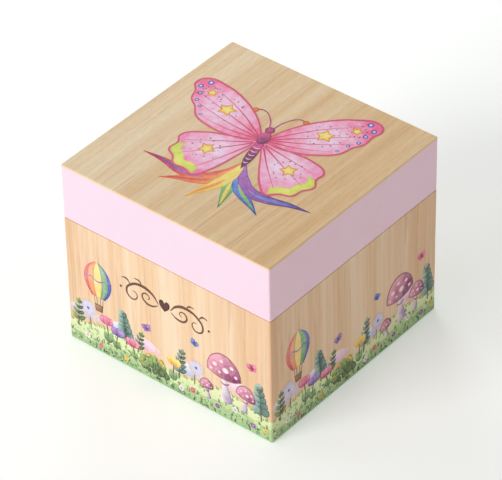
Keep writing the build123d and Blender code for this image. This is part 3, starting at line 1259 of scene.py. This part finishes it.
# %% Draw the flourish
FLOURISH_AT = (-0.6, 24.0)
SCROLLS = [
    ([(1.7, -0.4), (3.6, 1.7), (6.6, 2.5), (9.8, 1.4), (11.2, -0.9), (10.0, -2.6), (8.3, -2.0),
      (8.3, -0.5), (9.3, -0.2)], (0.16, 0.6, 0.86, 0.7, 0.6, 0.5, 0.4, 0.3, 0.16)),
    ([(1.9, -0.9), (3.9, -1.9), (5.9, -1.5), (6.5, 0.1), (5.3, 0.9), (4.4, 0.0), (5.0, -0.6)],
     (0.16, 0.44, 0.56, 0.46, 0.38, 0.28, 0.14)),
    ([(9.9, 1.3), (11.3, 2.5), (12.6, 2.2)], (0.14, 0.5, 0.12)),
    ([(6.4, 2.4), (7.3, 3.6), (8.8, 3.7)], (0.14, 0.44, 0.12)),
]


def draw_flourish():
    """The flourish on a flat page."""
    page = new_page()
    for mirror in (-1, 1):
        move = placed(FLOURISH_AT, 0, 1, mirror)
        for points, widths in SCROLLS:
            stroke(page, move(points), widths, PEN_BROWN, 1, cover=0.95)
        dot(page, move([(12.9, -0.6)])[0], 0.3, PEN_BROWN, 1)
    wash(page, placed(FLOURISH_AT, 0, 2.9)(HEART_POINTS), PEN_BROWN, 2, corners=HEART_CORNERS, grid=0.4)
    return page


flourish = draw_flourish()
print("the flourish has", len(flourish.faces), "faces")

# %% [markdown]
# ## The picture on the lid
#
# The lid carries one big picture, a pink butterfly trailing streamers in six colours. It is drawn like the
# small motifs, from outlines and centre lines. Those of the wings and feelers are of the right half alone,
# because whatever is drawn for the right wing is drawn again with x mirrored, and the picture is then
# turned a little, as one painted by hand is.

# %% Inks and outlines of the lid's picture
LID_TURN = 14
LID_AT = (0.2, 3.2)
LID_SIZE = 0.97
WING_PINK = ink((255, 230, 254), (248, 110, 160))
WING_LILAC = ink((255, 232, 255), (250, 128, 178))
ROSE_LINE = ink((212, 76, 106), (226, 104, 132))
BODY = ink((222, 96, 152), (118, 36, 96))
BODY_BAND = ink((250, 210, 236), (250, 210, 236))
LIME = ink((250, 248, 132), (206, 222, 88))
STAR_YELLOW = ink((255, 242, 140), (250, 204, 84))
STAR_ORANGE = ink((232, 140, 74), (224, 112, 74))
SPECK = ink((150, 60, 140), (150, 60, 140))
FORE_ROOT = [(0.2, 1.9), (4.6, 8.6), (10.4, 14.0), (16.8, 17.4)]
FORE_RIM = [(22.0, 18.2), (24.0, 15.8), (22.8, 12.8), (22.2, 9.6), (20.2, 7.2), (18.4, 4.0)]
FORE_BACK = [(14.4, 1.6), (8.8, 0.2), (3.6, 0.2)]
HIND_ROOT = [(0.2, 0.9), (7.6, 0.0), (13.8, -1.2)]
HIND_RIM = [(18.2, -4.2), (17.6, -7.2), (18.4, -10.0), (16.4, -12.2), (15.0, -14.8), (12.0, -15.4),
            (9.4, -16.8)]
HIND_BACK = [(6.6, -14.0), (4.6, -10.2), (2.6, -5.2)]
FOREWING = FORE_ROOT + FORE_RIM + FORE_BACK
HINDWING = HIND_ROOT + HIND_RIM + HIND_BACK
VEINS = [[(1.6, 2.8), (9.4, 9.6), (19.6, 16.0)], [(1.6, 2.4), (10.6, 7.0), (21.4, 12.4)],
         [(1.6, 2.0), (10.2, 4.4), (20.2, 8.6)], [(1.6, 1.5), (9.0, 2.0), (16.8, 4.0)],
         [(1.5, 0.0), (8.6, -2.6), (16.6, -5.6)], [(1.5, -0.4), (8.2, -5.4), (15.6, -10.6)],
         [(1.5, -1.0), (5.4, -7.4), (10.2, -14.2)]]
STARS = [(12.6, 8.8, 2.4, 10), (18.6, 13.4, 1.5, -14), (10.4, -6.6, 2.2, 24)]
TAIL_TURNS = [-66, -44, -20, 4, 28, 54]
TAIL_LENGTHS = [23.0, 19.5, 17.5, 17.0, 19.0, 23.0]
TAIL_FROM = -8.6  # where the streamers leave the body, mm from its middle
TAIL_WIDTH = 2.9
FEELER = [(0.4, 6.2), (1.8, 9.6), (4.6, 12.2), (6.4, 11.8)]
ABDOMEN = [(0, -10.4), (1.0, -6.6), (1.15, -2.0), (0.8, 0.6), (-0.8, 0.6), (-1.15, -2.0), (-1.0, -6.6)]
CHEST = [(0, -0.2), (1.35, 1.2), (1.2, 3.8), (0, 4.8), (-1.2, 3.8), (-1.35, 1.2)]
print("points round a forewing:", len(FOREWING), "and round a hindwing:", len(HINDWING))

# %% [markdown]
# ## Stars, streamers and wing bands
#
# A star is a wash with an outline and a ring of specks. A streamer is a wet stroke along a line that swings
# to its side, a little more towards its end, with a thin strand of another ink on it. A band follows a
# stretch of the wing's rim, pulled in towards the middle of the wing once for its outer side and once more
# for its inner side.

# %% Stars, streamers and bands
def star(page, at, radius, turn, rng):
    """An outlined star in a ring of specks."""
    points = placed(at, turn, radius)(STAR_POINTS)
    tips = range(len(points))
    wash(page, points, STAR_YELLOW, 7, rings(at, radius), tips, grid=0.5)
    stroke(page, points, (0.26, 0.34), STAR_ORANGE, 8, closed=True, corners=tips, cover=0.85, steps=2)
    for k in range(14):
        angle = k * math.tau / 14 + rng.uniform(-0.2, 0.2)
        reach = radius * rng.uniform(1.25, 1.8)
        speck = (at[0] + reach * math.sin(angle), at[1] + reach * math.cos(angle))
        dot(page, speck, rng.uniform(0.12, 0.24), SPECK, 7, cover=0.8)


def streamer(page, move, start, turn, length, width, ink, strand_ink, coat):
    """A tapering ribbon with a strand of another ink. The further it is turned, the more it waves."""
    bend = -0.0028 * turn

    def trail(first, last):
        shares = np.linspace(first, last, 6)
        line = [(bend * math.sin(4.4 * s) * (1 + 0.3 * s), -s) for s in shares]
        return move(placed(start, turn, length)(line))

    stroke(page, trail(0, 1), (width * 0.3, width, width * 1.1, width * 0.62, 0.08), ink, coat, wet=True)
    stroke(page, trail(0.38, 0.92), (0.1, width * 0.3, width * 0.26, 0.08), strand_ink, 3)


def pulled(line, centre, share):
    """A line pulled in towards a centre, to a share of its distance."""
    return [(centre[0] + (x - centre[0]) * share, centre[1] + (y - centre[1]) * share) for x, y in line]


def rim_band(rim, centre, outer, inner):
    """A crescent along a wing's rim, between two shares of the way out from the wing's centre."""
    return pulled(rim, centre, outer) + pulled(rim, centre, inner)[::-1]


# %% [markdown]
# ## Paint the lid's picture
#
# The streamers go down first, as wet strokes wide enough to pool at their rims. The wings follow, each with
# its glow of colour, its veins and its outline, then the rim's spots and the stars, and the body last.

# %% Draw the lid's picture
def draw_lid():
    """The butterfly on a flat page, from the back forwards."""
    rng = random.Random(5)
    page = new_page()
    middle = placed(LID_AT, LID_TURN, LID_SIZE)
    for k, (turn, length) in enumerate(zip(TAIL_TURNS, TAIL_LENGTHS)):
        start = (0.12 * (k - 2.5), TAIL_FROM)
        streamer(page, middle, start, turn, length, TAIL_WIDTH, BRIGHTS[k], BRIGHTS[k - 1], k % 3)
    for mirror in (-1, 1):
        move = placed(LID_AT, LID_TURN, LID_SIZE, mirror)

        def glow(centre, reach):
            return rings(move([centre])[0], reach * LID_SIZE)

        wash(page, move(HINDWING), WING_LILAC, 4, glow((8.8, -5.8), 11.0), (0,), grid=0.7)
        lime = rim_band(HIND_RIM[1:], (8.0, -5.0), 0.97, 0.76)
        wash(page, move(lime), LIME, 5, glow((12.0, -11.0), 8.0), (0, 5, 6, 11), grid=0.5)
        wash(page, move(FOREWING), WING_PINK, 5, glow((12.8, 8.6), 12.6), (0,), grid=0.7)
        for points in VEINS:
            stroke(page, move(points), (0.42, 0.26, 0.1), ROSE_LINE, 6)
        stroke(page, move(HINDWING), (0.3, 0.5, 0.4, 0.55, 0.3), ROSE_LINE, 6, closed=True, corners=(0,))
        stroke(page, move(FOREWING), (0.3, 0.5, 0.6, 0.4, 0.55, 0.3), ROSE_LINE, 7, closed=True, corners=(0,))
        for k, spot in enumerate(pulled(FORE_RIM, (12.0, 9.0), 0.86)):
            dot(page, move([spot])[0], 0.75 - 0.07 * k, BRIGHTS[4], 7)
            dot(page, move([spot])[0], 0.36 - 0.03 * k, WHITE, 8)
        for x, y, radius, turn in STARS:
            star(page, move([(x, y)])[0], radius * LID_SIZE, turn * mirror + LID_TURN, rng)
        stroke(page, move(FEELER), (0.36, 0.3, 0.24, 0.2), BODY, 6)
        dot(page, move([(6.5, 11.6)])[0], 0.75, STAR_ORANGE, 7)
    wash(page, middle(ABDOMEN), BODY, 8, slope(*middle([(-1, 0), (1.4, -6)])), (0,), grid=0.4)
    wash(page, middle(CHEST), BODY, 9, slope(*middle([(-1, 4), (1.4, 0.5)])), grid=0.4)
    dot(page, middle([(0, 5.6)])[0], 1.15 * LID_SIZE, BODY, 10)
    for k in range(5):
        side, low = 1.0 - 0.09 * k, -1.6 - 1.5 * k
        band = [(-side, low), (0, low - 0.35), (side, low)]
        stroke(page, middle(band), (0.1, 0.34, 0.1), BODY_BAND, 9, steps=4)
    return page


lid_picture = draw_lid()
print("the lid's picture has", len(lid_picture.faces), "faces")

# %% [markdown]
# ## Lay the pictures on the wood
#
# A page is flat, with the ink's thickness upwards. On a wall, the part past the flat goes round the
# corner's arc, and the part below the foot's ease follows its slope inwards. Moving a page's points by this
# rule keeps each film closed, because both of its faces move together.

# %% Wrap the walls and print the lid
def wrapped(page, turn):
    """A copy of a page, wrapped on the front wall and turned to its own wall."""
    print_on = page.copy()
    for v in print_on.verts:
        u, height, lift = v.co
        past = max(0.0, abs(u) - FLAT_HALF) / CORNER_RADIUS
        radius = CORNER_RADIUS + lift - max(0.0, FOOT_EASE - height)
        v.co.x = math.copysign(min(abs(u), FLAT_HALF) + radius * math.sin(past), u)
        v.co.y = -FLAT_HALF - radius * math.cos(past)
        v.co.z = height
    spin = Matrix.Rotation(math.radians(turn), 3, "Z")
    bmesh.ops.rotate(print_on, verts=print_on.verts[:], cent=(0, 0, 0), matrix=spin)
    return print_on


for side, turn in SIDES.items():
    as_piece(f"{side}_print", wrapped(strip, turn), wall_ink, "tray")
as_piece("front_flourish", wrapped(flourish, SIDES["front"]), wall_ink, "tray")
bmesh.ops.translate(lid_picture, verts=lid_picture.verts[:], vec=(0, 0, LID_TOP))
as_piece("lid_print", lid_picture, lid_ink, "lid")

# %% [markdown]
# ## A white floor
#
# The box stands on a plain white floor that fills the picture. It shows white because it gives camera rays
# a little light of its own, and what it gives the box is only what a matt white floor would. It still
# darkens under the box.

# %% Floor
FLOOR_SIZE = 6.0  # m
FLOOR_WHITE = pigment(240, 240, 239)
FLOOR_GLOW = 0.3
GLOW_COLOUR = (0.93, 1.0, 0.965)


def seen_directly(tree):
    """One for camera rays, also by way of gloss or glass, and zero for light that falls on things."""
    path = node(tree, "LightPath").outputs
    mirrored = maths(tree, "MAXIMUM", path["Is Glossy Ray"], path["Is Transmission Ray"])
    return maths(tree, "MAXIMUM", path["Is Camera Ray"], mirrored)


def floor_finish():
    """Matt white with a faint glow that only the camera sees."""
    finish, tree, shader = new_finish("white_floor", roughness=0.9, specular=0.1)
    shader.inputs["Base Color"].default_value = (*FLOOR_WHITE, 1)
    strength = maths(tree, "MULTIPLY", seen_directly(tree), FLOOR_GLOW)
    glow = node(tree, "Emission", {"Color": GLOW_COLOUR, "Strength": strength})
    both = node(tree, "AddShader", {0: shader.outputs[0], 1: glow.outputs[0]})
    out = next(n for n in tree.nodes if n.type == "OUTPUT_MATERIAL")
    tree.links.new(both.outputs[0], out.inputs["Surface"])
    return finish


plane = bmesh.new()
bmesh.ops.create_grid(plane, x_segments=1, y_segments=1, size=FLOOR_SIZE / 2)
floor_mesh = bpy.data.meshes.new("floor")
plane.to_mesh(floor_mesh)
plane.free()
floor_mesh.materials.append(floor_finish())
floor = bpy.data.objects.new("floor", floor_mesh)
bpy.context.scene.collection.objects.link(floor)
print("the floor is", FLOOR_SIZE, "m wide")

# %% [markdown]
# ## An even light from all round
#
# The world is white to the camera in the same way, and fills in evenly, at less than half that strength.

# %% World
FILL_LEVEL = 0.408

world = bpy.data.worlds.new("studio")
bpy.context.scene.world = world
world.use_nodes = True
sky = next(n for n in world.node_tree.nodes if n.type == "BACKGROUND")
sky.inputs["Color"].default_value = (1, 1, 1, 1)
fill = spread(world.node_tree, seen_directly(world.node_tree), 0.0, 1.0, FILL_LEVEL, 1.0)
world.node_tree.links.new(fill, sky.inputs["Strength"])
print("the world lights the box at", FILL_LEVEL, "of the white that the camera sees")

# %% [markdown]
# ## The lamps
#
# The key lamp is a soft box, low, nearly straight in front and a little to the left, so the front wall is
# the brightest side and the right-hand one lies in half shade. A weak window on the left, a warm side fill
# on the right and a small lamp close behind on the left shape the rest. Each lamp is given as how bright it
# makes a white card that faces it, which stays the same when its distance changes, and its power is worked
# out.

# %% Lamps
WHITE_LIGHT = (1, 1, 1)
LAMPS = [  # name, direction from the box, distance in m, size in m, level, colour
    ("key", (-0.26, -0.97, 0.45), 1.1, 0.6, 0.597, WHITE_LIGHT),
    ("window", (-0.95, -0.31, 0.45), 1.1, 0.6, 0.09, WHITE_LIGHT),
    ("side_fill", (1.0, -0.1, 0.25), 1.1, 0.6, 0.05, (1.0, 0.66, 0.42)),
    ("back_light", (-0.75, 0.65, 0.42), 0.30, 0.14, 0.24, WHITE_LIGHT),
]


def soft_box(name, direction, distance, size, level, colour):
    """A square lamp aimed at the box. level is how bright a white surface that faces it becomes."""
    lamp = bpy.data.lights.new(name, "AREA")
    lamp.shape = "SQUARE"
    lamp.size = size
    lamp.energy = level * (math.pi * distance) ** 2
    lamp.color = colour
    holder = bpy.data.objects.new(name, lamp)
    bpy.context.scene.collection.objects.link(holder)
    towards = Vector(direction).normalized()
    holder.location = BOX_MIDDLE + towards * distance
    holder.rotation_euler = towards.to_track_quat("Z", "Y").to_euler()
    print(name, "gives", round(lamp.energy, 2), "W")


for lamp in LAMPS:
    soft_box(*lamp)

# %% [markdown]
# ## The camera
#
# The photograph looks down on the box from its front right corner through a long lens, so the box's edges
# stay almost parallel. Azimuth is how far the camera has walked round to the right of the front, elevation
# how far it looks down, and roll how far it tilts. The shift is what the photograph's framing leaves, two
# pixels.

# %% Camera
PHOTO_WIDTH = 502
AZIMUTH = math.radians(40.16)
ELEVATION = math.radians(38.64)
ROLL = math.radians(-1.24)
CAMERA_DISTANCE = 0.7990
FOCAL_PIXELS = 3507
SHIFT_PIXELS = (0.8, -2.2)  # how far the box's middle is right of the photograph's and below it

lens = bpy.data.cameras.new("camera")
lens.lens = FOCAL_PIXELS / PHOTO_WIDTH * lens.sensor_width
lens.shift_x = -SHIFT_PIXELS[0] / PHOTO_WIDTH
lens.shift_y = SHIFT_PIXELS[1] / PHOTO_WIDTH
lens.clip_start = 0.01
lens.clip_end = 20
camera = bpy.data.objects.new("camera", lens)
level_reach = math.cos(ELEVATION)
back = Vector((math.sin(AZIMUTH) * level_reach, -math.cos(AZIMUTH) * level_reach, math.sin(ELEVATION)))
right = Vector((math.cos(AZIMUTH), math.sin(AZIMUTH), 0))
upright = Matrix((right, back.cross(right), back)).transposed()
rolled = (upright @ Matrix.Rotation(ROLL, 3, "Z")).to_4x4()
camera.matrix_world = Matrix.Translation(BOX_MIDDLE + back * CAMERA_DISTANCE) @ rolled
bpy.context.scene.collection.objects.link(camera)
bpy.context.scene.camera = camera
bpy.context.scene.view_settings.view_transform = "Standard"
print("lens:", round(lens.lens, 1), "mm")
